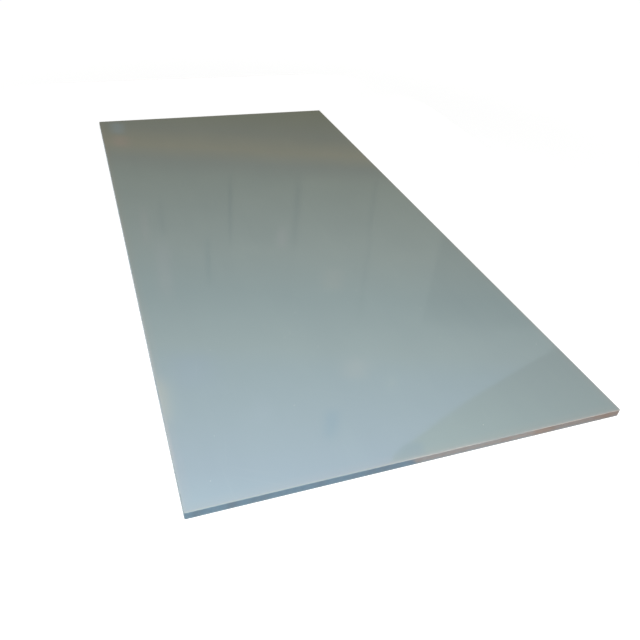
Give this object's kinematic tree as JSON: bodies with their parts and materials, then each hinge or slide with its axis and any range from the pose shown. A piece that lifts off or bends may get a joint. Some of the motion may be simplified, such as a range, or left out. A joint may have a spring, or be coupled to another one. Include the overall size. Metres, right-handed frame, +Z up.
{
  "type": "polystyrene sheet",
  "caption": "Flat rectangular sheet of solid polystyrene, glossy on both faces, with sawn edges and dulled arrises; stock for cutting, glazing and lining.",
  "frame": {"origin": "middle of the underside, on the surface that the sheet lies on", "axes": "+Z up through the thickness, +Y along the length, the way the sheet was extruded, +X across the width"},
  "size_m": [1, 2, 0.02],
  "materials": {
    "polystyrene": "gloss"
  },
  "bodies": {
    "root": {"polystyrene_sheet": "polystyrene"}
  },
  "joints": []
}
